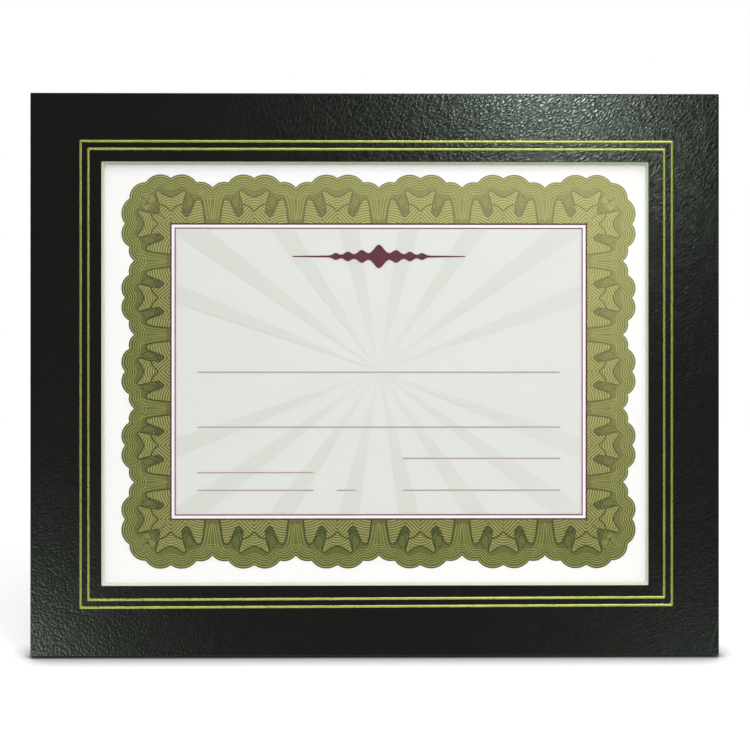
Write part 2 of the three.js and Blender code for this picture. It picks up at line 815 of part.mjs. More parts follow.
const leg = new THREE.Group();
leg.add(
  piece("easel_leg_board", legBoard(), materials.board),
  piece("easel_leg_cover", legCover(), materials.leatherette),
  piece("hinge_leg_leaf", legLeaf(), materials.nickel),
  ...legRivets.map((place, i) => (
    piece(`hinge_leg_rivet_${i + 1}`, rivetSolid(hingeRivet, legRivetGrip, place), materials.nickel)
  )),
);
leg.rotation.x = opening;

const hinge = new THREE.Group();
hinge.add(
  leg,
  piece("hinge_back_leaf", backLeaf(), materials.nickel),
  piece("hinge_pin", hingePin(), materials.nickel),
);
hinge.position.set(0, pinDepth, hingeHeight);

const panel = new THREE.Group();
panel.add(
  piece("front_cover", frontCover(), materials.leatherette),
  piece("front_board", frontBoard(), materials.core),
  piece("inner_foil_border", foilBorder(0), materials.foil),
  piece("outer_foil_border", foilBorder(1), materials.foil),
  piece("window_film", windowFilm(), materials.film),
  piece("certificate", certificate(), materials.sheet),
  ...printNodes(),
  ...spacers(),
  piece("back_lining", backLining(), materials.blackPaper),
  piece("back_board", backBoard(), materials.board),
  piece("back_paper", backPaper(), materials.blackPaper),
  ...backRivets.map((place, i) => (
    piece(`hinge_back_rivet_${i + 1}`, rivetSolid(hingeRivet, backRivetGrip, place), materials.nickel)
  )),
  piece("sawtooth_hanger", sawtoothHanger(), materials.nickel),
  ...hangerRivets.map((place, i) => (
    piece(`hanger_rivet_${i + 1}`, rivetSolid(hangerRivet, hangerRivetGrip, place), materials.nickel)
  )),
  hinge,
);
panel.rotation.x = -lean;
panel.position.z = lift;

// Stand the frame over its origin: the middle of its depth, from the front edge to the foot.
const documentFrame = new THREE.Group();
documentFrame.add(panel);
const standing = new THREE.Box3().setFromObject(documentFrame, true);
panel.position.y = -(standing.min.y + standing.max.y) / 2;

export default documentFrame;
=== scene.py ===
import json
import math

import bmesh
import bpy
from mathutils import Matrix, Vector, kdtree, noise

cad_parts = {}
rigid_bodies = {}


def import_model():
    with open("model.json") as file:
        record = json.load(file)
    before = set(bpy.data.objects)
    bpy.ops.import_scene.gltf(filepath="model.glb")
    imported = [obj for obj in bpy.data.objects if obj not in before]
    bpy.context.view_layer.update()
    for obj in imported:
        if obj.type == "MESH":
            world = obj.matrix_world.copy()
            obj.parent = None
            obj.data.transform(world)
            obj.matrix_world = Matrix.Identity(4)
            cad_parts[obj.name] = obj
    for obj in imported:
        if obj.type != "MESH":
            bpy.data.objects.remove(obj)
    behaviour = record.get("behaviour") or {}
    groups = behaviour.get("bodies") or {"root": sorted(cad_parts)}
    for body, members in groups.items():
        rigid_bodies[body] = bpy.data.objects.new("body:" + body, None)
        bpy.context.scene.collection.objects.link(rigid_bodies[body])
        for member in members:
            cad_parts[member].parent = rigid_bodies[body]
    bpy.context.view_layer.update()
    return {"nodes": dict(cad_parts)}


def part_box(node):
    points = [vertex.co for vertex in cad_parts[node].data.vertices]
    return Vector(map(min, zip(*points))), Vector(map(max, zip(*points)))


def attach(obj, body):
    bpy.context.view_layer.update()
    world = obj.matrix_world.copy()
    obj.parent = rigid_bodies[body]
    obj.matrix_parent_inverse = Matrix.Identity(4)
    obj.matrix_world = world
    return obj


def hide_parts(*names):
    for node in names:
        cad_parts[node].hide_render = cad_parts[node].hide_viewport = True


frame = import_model()
nodes = frame["nodes"]
mm = 0.001

# The panel leans back: x runs across it, y into it from its face, z up it from its lower edge.
lean = math.radians(15)
panel = {
    "width": 342.9, "height": 280.2,
    "window": {"left": -136.15, "right": 136.15, "bottom": 35.2, "top": 246.1},
    "bevel": {"left": 1.15, "right": 0.9, "bottom": 1.1, "top": 1.3},
}
coverLow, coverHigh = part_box("front_cover")
panelMatrix = Matrix.Translation(
    (0, coverLow.y, coverHigh.z - panel["height"] * mm * math.cos(lean))
) @ Matrix.Rotation(-lean, 4, "X")
middleHeight = panel["height"] / 2


def toWorld(x, depth, height):
    return panelMatrix @ (Vector((x, depth, height)) * mm)


def newObject(name, data):
    thing = bpy.data.objects.new(name, data)
    bpy.context.scene.collection.objects.link(thing)
    return thing


# Camera, floor, lights

camera = {
    "distance": 1.3, "yaw": math.radians(1.0), "viewWidth": 0.3733,
    "sensor": 36.0, "frameMiddle": (375.4, 374.75), "imageSize": 750, "clip": (0.01, 30),
}


def makeCamera():
    data = bpy.data.cameras.new("photoCamera")
    data.sensor_fit = "HORIZONTAL"
    data.sensor_width = camera["sensor"]
    data.lens = camera["sensor"] * camera["distance"] / camera["viewWidth"]
    half = camera["imageSize"] / 2
    data.shift_x = (half - camera["frameMiddle"][0]) / camera["imageSize"]
    data.shift_y = (camera["frameMiddle"][1] - half) / camera["imageSize"]
    data.clip_start, data.clip_end = camera["clip"]
    holder = newObject("photoCamera", data)
    target = toWorld(0, 0, middleHeight)
    turn = panelMatrix.to_3x3()
    away = Vector((-math.sin(camera["yaw"]), -math.cos(camera["yaw"]), 0))
    back = (turn @ away).normalized()
    up = turn @ Vector((0, 0, 1))
    right = up.cross(back).normalized()
    up = back.cross(right)
    pose = Matrix((right, up, back)).transposed().to_4x4()
    pose.translation = target + back * camera["distance"]
    holder.matrix_world = pose
    bpy.context.scene.camera = holder


class Graph:
    # A node tree with one short call per node.
    def __init__(self, tree):
        self.tree = tree
        self.tree.nodes.clear()

    def add(self, kind, values=None, **settings):
        node = self.tree.nodes.new(kind)
        for key, value in settings.items():
            setattr(node, key, value)
        for key, value in (values or {}).items():
            if isinstance(value, bpy.types.NodeSocket):
                self.tree.links.new(value, node.inputs[key])
            else:
                node.inputs[key].default_value = value
        return node

    def math(self, operation, first, second=0.0, **settings):
        values = {0: first, 1: second}
        return self.add("ShaderNodeMath", values, operation=operation, **settings).outputs[0]

    def times(self, first, second):
        return self.math("MULTIPLY", first, second)

    def plus(self, first, second):
        return self.math("ADD", first, second)

    def ramp(self, value, low, high, start=0.0, end=1.0):
        values = {0: value, 1: low, 2: high, 3: start, 4: end}
        return self.add("ShaderNodeMapRange", values).outputs[0]

    def mix(self, share, first, second, blend="MIX"):
        # The mix node's colour sockets are inputs 6 and 7 and output 2.
        values = {0: share, 6: first, 7: second}
        return self.add("ShaderNodeMix", values, data_type="RGBA", blend_type=blend).outputs[2]

    def blend(self, share, first, second):
        values = {"Factor": share, "A": first, "B": second}
        return self.add("ShaderNodeMix", values, data_type="FLOAT").outputs["Result"]

    def noise(self, scale, detail=2.0, roughness=0.5, vector=None, output="Fac"):
        values = {"Scale": scale, "Detail": detail, "Roughness": roughness}
        values["Vector"] = vector or self.place()
        return self.add("ShaderNodeTexNoise", values).outputs[output]

    def cells(self, scale, feature, vector):
        values = {"Scale": scale, "Vector": vector}
        return self.add("ShaderNodeTexVoronoi", values, feature=feature).outputs["Distance"]

    def vector(self, operation, first, second, output="Vector"):
        key = "Scale" if operation == "SCALE" else 1
        node = self.add("ShaderNodeVectorMath", {0: first, key: second}, operation=operation)
        return node.outputs[output]

    def place(self):
        if not hasattr(self, "where"):
            self.where = self.add("ShaderNodeTexCoord").outputs["Object"]
        return self.where

    def bump(self, height, distance, strength):
        values = {"Height": height, "Distance": distance, "Strength": strength}
        return self.add("ShaderNodeBump", values).outputs[0]

    def mixShaders(self, share, first, second):
        return self.add("ShaderNodeMixShader", {0: share, 1: first, 2: second}).outputs[0]

    def mapped(self, vector, key, value):
        return self.add("ShaderNodeMapping", {"Vector": vector, key: value}).outputs[0]

    def axis(self, name, vector=None):
        return self.add("ShaderNodeSeparateXYZ", {0: vector or self.place()}).outputs[name]

    def plain(self, kind, value, **values):
        values["Color"] = gray(value)
        return self.add(kind, values).outputs[0]

    def surface(self, shader):
        self.add("ShaderNodeOutputMaterial", {"Surface": shader})

    def principled(self, values):
        return self.add("ShaderNodeBsdfPrincipled", values).outputs[0]


def newMaterial(name):
    material = bpy.data.materials.new(name)
    material.use_nodes = True
    return material, Graph(material.node_tree)


def gray(value):
    return (value, value, value, 1.0)


def linear(red, green, blue):
    def one(value):
        value /= 255
        return value / 12.92 if value <= 0.04045 else ((value + 0.055) / 1.055) ** 2.4
    return (one(red), one(green), one(blue), 1.0)


# Noise values mostly lie between these two.
noiseSpan = (0.3, 0.7)

room = {
    "floorRadius": 3.0, "floorCorners": 96, "floorColour": 0.5, "floorLift": 0.5,
    "fade": (0.18, 0.45), "contactReach": 0.016, "contactShade": 0.28, "contactFade": (0.58, 0.98),
    "contactSamples": 8, "ambient": 0.975, "darkCard": 0.08, "floorCard": (-0.26, -0.34),
    "wallCard": (-0.75, 0.1),
}
lamps = [
    {"name": "softboxRight", "at": (122, -450, 205), "size": 0.05, "power": 0.40},
    {"name": "softboxLeft", "at": (-320, -750, -265), "size": 0.09, "power": 0.42},
    {"name": "softboxLow", "at": (320, -750, -290), "size": 0.12, "power": 0.10},
    {"name": "softboxTop", "at": (260, -620, 1000), "size": 0.8, "power": 5.9},
]


def makeFloor():
    material, graph = newMaterial("studioFloor")
    path = graph.add("ShaderNodeLightPath").outputs
    distance = graph.vector("LENGTH", graph.place(), (0, 0, 0), "Value")
    seen = graph.math("MAXIMUM", path["Is Camera Ray"], path["Is Glossy Ray"])
    seen = graph.math("MAXIMUM", seen, path["Is Transmission Ray"])
    white = graph.plain("ShaderNodeEmission", 1)
    lift = graph.plain("ShaderNodeEmission", 1, Strength=graph.times(seen, room["floorLift"]))
    matte = graph.plain("ShaderNodeBsdfDiffuse", room["floorColour"])
    near = graph.add("ShaderNodeAddShader", {0: matte, 1: lift}).outputs[0]
    fade = graph.times(graph.ramp(distance, *room["fade"]), seen)
    pale = graph.mixShaders(fade, near, white)
    # The shadow gathers close to what stands on the floor.
    nearby = graph.add(
        "ShaderNodeAmbientOcclusion", {"Distance": room["contactReach"]},
        samples=room["contactSamples"],
    ).outputs["AO"]
    shadow = graph.plain("ShaderNodeBsdfDiffuse", room["contactShade"])
    pale = graph.mixShaders(graph.ramp(nearby, *room["contactFade"]), shadow, pale)
    # A dark card lies on the floor in front, out of the picture: the face mirrors no white there.
    card = graph.ramp(graph.axis("Y"), *room["floorCard"])
    card = graph.times(card, graph.math("SUBTRACT", 1.0, path["Is Camera Ray"]))
    dark = graph.plain("ShaderNodeBsdfDiffuse", room["darkCard"])
    graph.surface(graph.mixShaders(card, pale, dark))
    bpy.ops.mesh.primitive_circle_add(
        vertices=room["floorCorners"], radius=room["floorRadius"], fill_type="NGON"
    )
    floor = bpy.context.object
    floor.name = "studioFloor"
    floor.data.materials.append(material)


def makeWorld():
    world = bpy.data.worlds.new("studioRoom")
    bpy.context.scene.world = world
    world.use_nodes = True
    world.cycles.sampling_method = "NONE"
    graph = Graph(world.node_tree)
    path = graph.add("ShaderNodeLightPath").outputs
    direction = graph.add("ShaderNodeTexCoord").outputs["Generated"]
    behind = graph.axis("Y", direction)
    reflected = graph.math("MAXIMUM", path["Is Glossy Ray"], path["Is Transmission Ray"])
    card = graph.ramp(behind, *room["wallCard"], room["darkCard"], 1.0)
    seen = graph.times(reflected, card)
    seen = graph.math("MAXIMUM", seen, path["Is Camera Ray"])
    plain = graph.math("SUBTRACT", 1.0, reflected)
    plain = graph.times(plain, room["ambient"])
    strength = graph.math("MAXIMUM", seen, plain)
    background = graph.plain("ShaderNodeBackground", 1, Strength=strength)
    graph.add("ShaderNodeOutputWorld", {"Surface": background})


def makeLamps():
    target = toWorld(0, 0, middleHeight)
    for lamp in lamps:
        data = bpy.data.lights.new(lamp["name"], "AREA")
        data.shape = "SQUARE"
        data.size = lamp["size"]
        data.energy = lamp["power"]
        holder = newObject(lamp["name"], data)
        holder.visible_camera = False
        x, depth, height = lamp["at"]
        holder.location = toWorld(x, depth, height + middleHeight)
        holder.rotation_euler = (target - holder.location).to_track_quat("-Z", "Y").to_euler()


bpy.context.scene.view_settings.view_transform = "Standard"
makeCamera()
makeFloor()
makeWorld()
makeLamps()
print("room, camera and lamps are in place")


# Mesh helpers

def makeObject(name, points, faces, material, smooth=False):
    mesh = bpy.data.meshes.new(name)
    mesh.from_pydata([toWorld(*point) for point in points], [], faces)
    mesh.materials.append(material)
    mesh.polygons.foreach_set("use_smooth", [smooth] * len(mesh.polygons))
    mesh.update()
    return newObject(name, mesh)


def faceOutwards(piece):
    cage = bmesh.new()
    cage.from_mesh(piece.data)
    bmesh.ops.recalc_face_normals(cage, faces=cage.faces)
    cage.to_mesh(piece.data)
    cage.free()


def settle(piece, slot, *replaced):
    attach(piece, "frame")
    if replaced:
        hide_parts(*replaced)


def rectangleAt(inset=0.0):
    return {
        "left": -panel["width"] / 2 + inset, "right": panel["width"] / 2 - inset,
        "bottom": inset, "top": panel["height"] - inset,
    }


def grown(rectangle, by):
    return {
        "left": rectangle["left"] - by, "right": rectangle["right"] + by,
        "bottom": rectangle["bottom"] - by, "top": rectangle["top"] + by,
    }


def ringPoints(rectangle, radius, sideSteps=24, cornerSteps=4):
    left, right = rectangle["left"], rectangle["right"]
    bottom, top = rectangle["bottom"], rectangle["top"]
    corners = (
        (right - radius, top - radius, 0), (left + radius, top - radius, 90),
        (left + radius, bottom + radius, 180), (right - radius, bottom + radius, 270),
    )
    arcs = []
    for x, z, start in corners:
        arc = []
        for i in range(cornerSteps + 1):
            angle = math.radians(start + 90 * i / cornerSteps)
            arc.append((x + radius * math.cos(angle), z + radius * math.sin(angle)))
        arcs.append(arc)
    points = []
    for i, arc in enumerate(arcs):
        points += arc
        end, start = arcs[(i + 1) % 4][0], arc[-1]
        for step in range(1, sideSteps):
            share = step / sideSteps
            points.append((
                start[0] + (end[0] - start[0]) * share, start[1] + (end[1] - start[1]) * share,
            ))
    return points


def quarterTurn(steps):
    return [math.pi / 2 * i / steps for i in range(steps + 1)]


def loftRings(name, rings, material):
    count = len(rings[0][0])
    points = [(x, depth, z) for ring, depth in rings for x, z in ring]
    faces = []
    for i in range(len(rings)):
        here, there = i * count, ((i + 1) % len(rings)) * count
        for j in range(count):
            k = (j + 1) % count
            faces.append((here + j, here + k, there + k, there + j))
    piece = makeObject(name, points, faces, material, smooth=True)
    faceOutwards(piece)
    return piece


def sharpen(mesh, degrees):
    mesh.set_sharp_from_angle(angle=math.radians(degrees))


# Leather-grained cover sheet: soft folded edges, a cut lip at the window, two pressed grooves.

leather = {
    "edgeRadius": 0.45, "edgeSteps": 5, "lipRadius": 0.1, "lipSteps": 3, "thickness": 0.3,
    "foldDepth": 2.7, "foldRadius": 0.3, "foldSteps": 3, "turnIn": 15, "overlap": 0.02,
    "grooveHalf": 0.6, "grooveDepth": 0.08, "grooveLip": 0.12, "grooveCorner": 1.0,
    "cornerRadius": 0.5, "innerCorner": 0.3, "faceCorner": 0.55, "cornerEase": 0.6,
    "faceFlat": 0.3, "sideFrom": 0.2, "sideTo": 0.5, "sharpAngle": 24,
}
grain = {
    "warpScale": 110, "warp": 0.0034, "slant": math.radians(38), "stretch": (0.5, 1, 1.15),
    "creaseScale": 640, "creaseWidth": 0.34, "creasePower": 0.55, "creaseHeight": 0.55,
    "threadEdge": (0.10, 0.26), "fineScale": 1300, "fineHeight": 0.5,
    "pebbleScale": 880, "pebbleHeight": 0.75, "pebbleBase": 0.2,
    "drift": 18, "driftReach": 0.08, "drawnFrom": 0.02, "drawnTo": 0.22,
    "poreScale": 5200, "poreHeight": 0.10, "waveScale": 70, "waveHeight": 0.35,
    "foldLow": (166.3, 0, 0.8), "foldHigh": (170.0, 0, 13.0), "foldWidth": 0.0005,
    "foldHeight": 5.0, "bump": 0.00008,
    "shadeScale": 45, "darker": (0.0060, 0.0050, 0.0048, 1), "paler": (0.0086, 0.0076, 0.0070, 1),
    "dullScale": 240, "dullRough": (0.19, 0.23), "hollowRough": 0.265, "threadRough": 0.165,
    "sheen": (0.80, 1.0, 0.82, 1),
}
foil = {
    "inner": {"left": -142.65, "right": 144.05, "bottom": 28.85, "top": 252.35},
    "spacing": 3.85, "half": 0.56, "step": 0.4, "longSide": 280, "corner": 0.02,
    "depth": 0.045, "thickness": 0.03, "crown": 0.008,
    "rag": 0.17, "waves": ((1.3, 7, 1.0), (0.16, -5, 0.5)), "sideReach": 1.2, "endReach": 1.6,
    "drop": -0.2, "tilt": 0.0034, "tiltReach": 120, "tiltFrom": 2,
}


def foilRing(offset, radius, *steps):
    # The stamping die sat a little askew, so the lower side climbs to the right.
    low = foil["inner"]["bottom"] - foil["spacing"] - foil["tiltFrom"]
    ring = []
    for x, z in ringPoints(grown(foil["inner"], offset), radius, *steps):
        share = max(0.0, 1 - (z - low) / foil["tiltReach"])
        ring.append((x, z + share * (foil["drop"] + foil["tilt"] * x)))
    return ring


def leatherMaterial():
    # Pebbled where it was pressed flat, drawn into slanting creases towards its upper right.
    material, graph = newMaterial("leatherGrain")
    place = graph.place()
    warp = graph.noise(grain["warpScale"], 3, output="Color")
    bent = graph.vector("SUBTRACT", warp, (0.5, 0.5, 0.5))
    bent = graph.vector("SCALE", bent, grain["warp"])
    bent = graph.vector("ADD", place, bent)
    slanted = graph.mapped(bent, "Rotation", (0, grain["slant"], 0))
    slanted = graph.mapped(slanted, "Scale", grain["stretch"])
    edges = graph.cells(grain["creaseScale"], "DISTANCE_TO_EDGE", slanted)
    creases = graph.ramp(edges, 0.0, grain["creaseWidth"])
    creases = graph.math("POWER", creases, grain["creasePower"])
    threads = graph.ramp(edges, *grain["threadEdge"])
    fine = graph.math("SUBTRACT", 1.0, graph.cells(grain["fineScale"], "SMOOTH_F1", slanted))
    fine = graph.times(fine, grain["fineHeight"])
    drawn = graph.plus(graph.times(creases, grain["creaseHeight"]), fine)
    pebbles = graph.math("SUBTRACT", 1.0, graph.cells(grain["pebbleScale"], "SMOOTH_F1", bent))
    pressed = graph.times(pebbles, grain["pebbleHeight"])
    pressed = graph.plus(pressed, grain["pebbleBase"])
    upRight = graph.plus(graph.axis("X"), graph.axis("Z"))
    reach = grain["driftReach"]
    drift = graph.ramp(graph.noise(grain["drift"]), 0, 1, -reach, reach)
    share = graph.plus(upRight, drift)
    share = graph.ramp(share, grain["drawnFrom"], grain["drawnTo"])
    height = graph.blend(share, pressed, drawn)
    for scale, detail, rough, amount in (
        (grain["poreScale"], 3, 0.6, grain["poreHeight"]),
        (grain["waveScale"], 2, 0.5, grain["waveHeight"]),
    ):
        rise = graph.times(graph.noise(scale, detail, rough), amount)
        height = graph.plus(height, rise)
    # The fold of the lower right corner shows as one slanting crease.
    lower, upper = toWorld(*grain["foldLow"]), toWorld(*grain["foldHigh"])
    across = (upper - lower).cross(panelMatrix.to_3x3() @ Vector((0, 1, 0))).normalized()
    beside = graph.vector("SUBTRACT", place, lower)
    beside = graph.vector("DOT_PRODUCT", beside, across, "Value")
    beside = graph.math("ABSOLUTE", beside)
    fold = graph.ramp(beside, 0.0, grain["foldWidth"], grain["foldHeight"], 0.0)
    height = graph.math("SUBTRACT", height, fold)
    normal = graph.bump(height, grain["bump"], 1.0)
    shade = graph.mix(graph.noise(grain["shadeScale"], 3), grain["darker"], grain["paler"])
    # The drawn threads are rubbed smooth, the hollows between them stay dull.
    dull = graph.ramp(graph.noise(grain["dullScale"], 3), *noiseSpan, *grain["dullRough"])
    rubbed = graph.ramp(threads, 0.0, 1.0, grain["hollowRough"], grain["threadRough"])
    graph.surface(graph.principled({
        "Base Color": shade, "Roughness": graph.blend(share, dull, rubbed),
        "Specular IOR Level": 0.5, "Specular Tint": grain["sheen"], "Normal": normal,
    }))
    return material


leatherSkin = leatherMaterial()


def makeCover():
    window, corner, thickness = panel["window"], leather["cornerRadius"], leather["thickness"]
    lip, radius, rear = leather["lipRadius"], leather["edgeRadius"], leather["foldDepth"]
    rings = [(ringPoints(window, corner), thickness)]
    for angle in quarterTurn(leather["lipSteps"]):
        grow, depth = lip * (1 - math.cos(angle)), lip * (1 - math.sin(angle))
        rings.append((ringPoints(grown(window, grow), corner + grow), depth))
    rings.append((ringPoints(grown(window, 2 * lip), corner + 2 * lip), 0))
    half, step, deep = leather["grooveHalf"], leather["grooveLip"], leather["grooveDepth"]
    for line in (0, foil["spacing"]):
        for offset, depth in (
            (-half - 2 * step, 0), (-half - step, 0), (-half, deep),
            (half, deep), (half + step, 0), (half + 2 * step, 0),
        ):
            rings.append((foilRing(line + offset, leather["grooveCorner"]), depth))
    inner = leather["innerCorner"]
    rings.append((ringPoints(rectangleAt(radius + leather["faceFlat"]), inner), 0))
    for angle in quarterTurn(leather["edgeSteps"]):
        inset, depth = radius * (1 - math.sin(angle)), radius * (1 - math.cos(angle))
        rounding = leather["faceCorner"] - inset * leather["cornerEase"]
        rings.append((ringPoints(rectangleAt(inset), rounding), depth))
    fold = leather["foldRadius"]
    for depth in (radius + leather["sideFrom"], rear - leather["sideTo"]):
        rings.append((ringPoints(rectangleAt(0), corner), depth))
    for angle in quarterTurn(leather["foldSteps"]):
        inset = fold * (1 - math.cos(angle))
        depth = rear - fold + fold * math.sin(angle)
        rings.append((ringPoints(rectangleAt(inset), corner), depth))
    under = rear - thickness + leather["overlap"]
    for inset, rounding, depth in (
        (leather["turnIn"], corner, rear), (leather["turnIn"], corner, under),
        (thickness, inner, under), (thickness, inner, thickness),
    ):
        rings.append((ringPoints(rectangleAt(inset), rounding), depth))
    cover = loftRings("coverSheet", rings, leatherSkin)
    sharpen(cover.data, leather["sharpAngle"])
    settle(cover, "leatherette", "front_cover")


makeCover()
print("cover sheet is folded")


# Board under the cover. Its window edge is cut as a bevel, which shows as a pale grey-green band
# round the window, widest at the top.

def dimmed(colour, by):
    return tuple(by * c for c in colour[:3]) + (1.0,)


rawBoard = {
    "fibres": (800, 5, 0.7), "marks": (1700, 2), "marksFade": (0.62, 0.7),
    "rough": 0.88, "gloss": 0.3, "bump": (0.00009, 0.7),
}
sheets = {
    # Pale grey-green of the bevelled band round the window.
    "boardCore": {
        "fibres": (900, 4, 0.65), "dark": linear(182, 192, 166), "light": linear(202, 210, 186),
        "marks": (140, 2), "marksFade": (0.35, 0.75, 0.0, 0.5),
        "marksColour": linear(206, 214, 194), "rough": 0.85, "gloss": 0.3, "bump": (0.00005, 0.5),
    },
    "certificatePaper": {
        "fibres": (700, 4, 0.6), "dark": linear(242, 241, 238), "light": linear(248, 247, 245),
        "rough": 0.7, "gloss": 0.2, "bump": (0.00002, 0.3),
    },
    "blackPaper": {
        "fibres": (520, 5, 0.65), "dark": gray(0.008), "light": gray(0.022),
        "marks": (28, 4, 0.7), "marksFade": (0.48, 0.72, 0.0, 0.8),
        "marksColour": (0.044, 0.042, 0.039, 1), "rough": 0.82, "gloss": 0.35,
        "bump": (0.00006, 0.6),
    },
    "blackBoard": {
        **rawBoard, "dark": gray(0.010), "light": gray(0.028), "marksColour": gray(0.006),
    },
    "greyBoard": {
        **rawBoard, "dark": linear(120, 114, 102), "light": linear(164, 156, 140),
        "marksColour": dimmed(linear(120, 114, 102), 0.6),
    },
}


def sheetMaterial(name):
    # Fibres between two shades, with patches, scuffs or specks of a third over them.
    look = sheets[name]
    material, graph = newMaterial(name)
    fibres = graph.noise(*look["fibres"])
    shade = graph.mix(fibres, look["dark"], look["light"])
    if "marks" in look:
        marks = graph.ramp(graph.noise(*look["marks"]), *look["marksFade"])
        shade = graph.mix(marks, shade, look["marksColour"])
    graph.surface(graph.principled({
        "Base Color": shade, "Roughness": look["rough"], "Specular IOR Level": look["gloss"],
        "Normal": graph.bump(fibres, *look["bump"]),
    }))
    return material


board = {
    "front": 0.34, "rear": 2.38, "inset": 0.33, "corner": 0.3, "gap": 0.03,
    "windowCorner": 0.5, "cornerGrows": 1.1, "sideSteps": 90, "bevelSteps": 4,
    "ragged": 0.0016, "waves": ((0.11, 4.0, 0.7), (0.5, 9.0, 0.5)), "sharpAngle": 40,
}


def makeBoard():
    window, bevel = panel["window"], panel["bevel"]
    steps, front, rear = board["sideSteps"], board["front"], board["rear"]
    inner = {
        "left": window["left"] + bevel["left"], "right": window["right"] - bevel["right"],
        "bottom": window["bottom"] + bevel["bottom"], "top": window["top"] - bevel["top"],
    }
    centre = (inner["bottom"] + inner["top"]) / 2
    outer = ringPoints(rectangleAt(board["inset"]), board["corner"], steps)
    edge = grown(window, board["gap"])
    rings = [(outer, front)]
    for i in range(board["bevelSteps"] + 1):
        share = i / board["bevelSteps"]
        rectangle = {key: edge[key] + (inner[key] - edge[key]) * share for key in edge}
        ring = []
        corner = board["windowCorner"] + board["cornerGrows"] * share
        for x, z in ringPoints(rectangle, corner, steps):
            wave = sum(
                size * noise.noise(Vector((x * scale, z * scale, seed)))
                for scale, seed, size in board["waves"]
            )
            side = 1 - board["ragged"] * share * wave
            ring.append((x * side, centre + (z - centre) * side))
        rings.append((ring, front + (rear - front) * share))
    rings.append((outer, rear))
    piece = loftRings("mountBoard", rings, sheetMaterial("boardCore"))
    sharpen(piece.data, board["sharpAngle"])
    settle(piece, "board_core", "front_board")


makeBoard()
print("mount board is cut")


# Gold foil: two ragged stamped lines.

gilding = {
    "grainScale": 1500, "patchScale": 70, "darker": (0.44, 0.50, 0.035, 1),
    "paler": (0.62, 0.64, 0.09, 1), "metallic": 0.8, "rough": (0.30, 0.42), "coatRough": 0.3,
    "coatIor": 1.8, "bump": 0.00012, "bare": (0.010, 0.011, 0.009, 1), "bareRough": 0.5,
    "flecks": (0.60, 0.68),
}


def foilMaterial():
    material, graph = newMaterial("stampedFoil")
    grained = graph.noise(gilding["grainScale"], 3, 0.6)
    patches = graph.noise(gilding["patchScale"], 3)
    metal = graph.principled({
        "Base Color": graph.mix(patches, gilding["darker"], gilding["paler"]),
        "Metallic": gilding["metallic"],
        "Roughness": graph.ramp(grained, *noiseSpan, *gilding["rough"]),
        "Coat Weight": 1.0, "Coat Roughness": gilding["coatRough"],
        "Coat IOR": gilding["coatIor"], "Normal": graph.bump(grained, gilding["bump"], 1.0),
    })
    bare = graph.principled({"Base Color": gilding["bare"], "Roughness": gilding["bareRough"]})
    flecks = graph.ramp(graph.noise(gilding["grainScale"], 2, 0.6), *gilding["flecks"])
    graph.surface(graph.mixShaders(flecks, metal, bare))
    return material


stampedFoil = foilMaterial()


def makeFoilLine(name, line, seed, replaced):
    perSide = int(foil["longSide"] / foil["step"])
    half, front = foil["half"], foil["depth"]
    edge, rear = front + foil["crown"], front + foil["thickness"]
    rectangle = grown(foil["inner"], line)
    middleX = (rectangle["left"] + rectangle["right"]) / 2
    middleZ = (rectangle["bottom"] + rectangle["top"]) / 2
    rings = []
    for offset, depth, edgeSeed in (
        (-half, rear, 1.0), (-half, edge, 1.0), (0, front, 0.0),
        (half, edge, 2.0), (half, rear, 2.0),
    ):
        ring = []
        for x, z in foilRing(line + offset, foil["corner"], perSide, 1):
            wave = sum(
                size * noise.noise(Vector((x * scale, z * scale, seed + edgeSeed * apart)))
                for scale, apart, size in foil["waves"]
            )
            away = foil["rag"] * wave if edgeSeed else 0.0
            onSide = abs(abs(x - middleX) - (rectangle["right"] - middleX)) < foil["sideReach"]
            onEnd = abs(abs(z - middleZ) - (rectangle["top"] - middleZ)) < foil["endReach"]
            ring.append((
                x + (away * (1 if x > middleX else -1) if onSide else 0),
                z + (away * (1 if z > middleZ else -1) if onEnd else 0),
            ))
        rings.append((ring, depth))
    piece = loftRings(name, rings, stampedFoil)
    settle(piece, "gold_foil", replaced)


makeFoilLine("foilLineInner", 0, 3.0, "inner_foil_border")
makeFoilLine("foilLineOuter", foil["spacing"], 11.0, "outer_foil_border")
print("foil lines are stamped")


# Print: flat ribbons of ink just in front of the CAD band.

printing = {
    "middle": (1.8, 141.7), "width": 207.3, "height": 147.2, "across": 5, "up": 4,
    "hatchDepth": 2.884, "lightDepth": 2.876, "smudgeDepth": 2.874, "darkDepth": 2.872,
    "shadeDepth": 2.87, "echoDepth": 2.868, "outlineDepth": 2.862,
    "inkScale": 260, "inkFade": (0.25, 0.75), "rough": 0.6, "gloss": 0.25,
    # Painted glare: how far the print is lifted towards its upper right, and in what colour.
    "paintedGlareMiddle": 0.08, "paintedGlareWay": (1.5, 0, 2.7), "paintedGlareColour": (0.36, 0.34, 0.15, 1),
}


def withPaintedGlare(graph, shade):
    # Painted light and reflection: the print is lifted towards its upper right, standing in for the
    # lamp's light there and its glare on the film.
    side = panelMatrix.to_3x3() @ Vector(printing["paintedGlareWay"])
    offset = graph.vector("SUBTRACT", graph.place(), toWorld(0, 0, middleHeight))
    share = graph.vector("DOT_PRODUCT", offset, side, "Value")
    share = graph.math("ADD", share, printing["paintedGlareMiddle"], use_clamp=True)
    return graph.mix(share, shade, printing["paintedGlareColour"], blend="ADD")


def inkSurface(graph, shade):
    graph.surface(graph.principled({
        "Base Color": shade, "Roughness": printing["rough"],
        "Specular IOR Level": printing["gloss"],
    }))


def inkMaterial(name, dark, light, paintedGlare=False, scale=printing["inkScale"]):
    material, graph = newMaterial(name)
    share = graph.ramp(graph.noise(scale, 3, 0.6), *printing["inkFade"])
    shade = graph.mix(share, linear(*dark), linear(*light))
    # Inks that ask for it get the painted glare towards the upper right.
    inkSurface(graph, withPaintedGlare(graph, shade) if paintedGlare else shade)
    return material


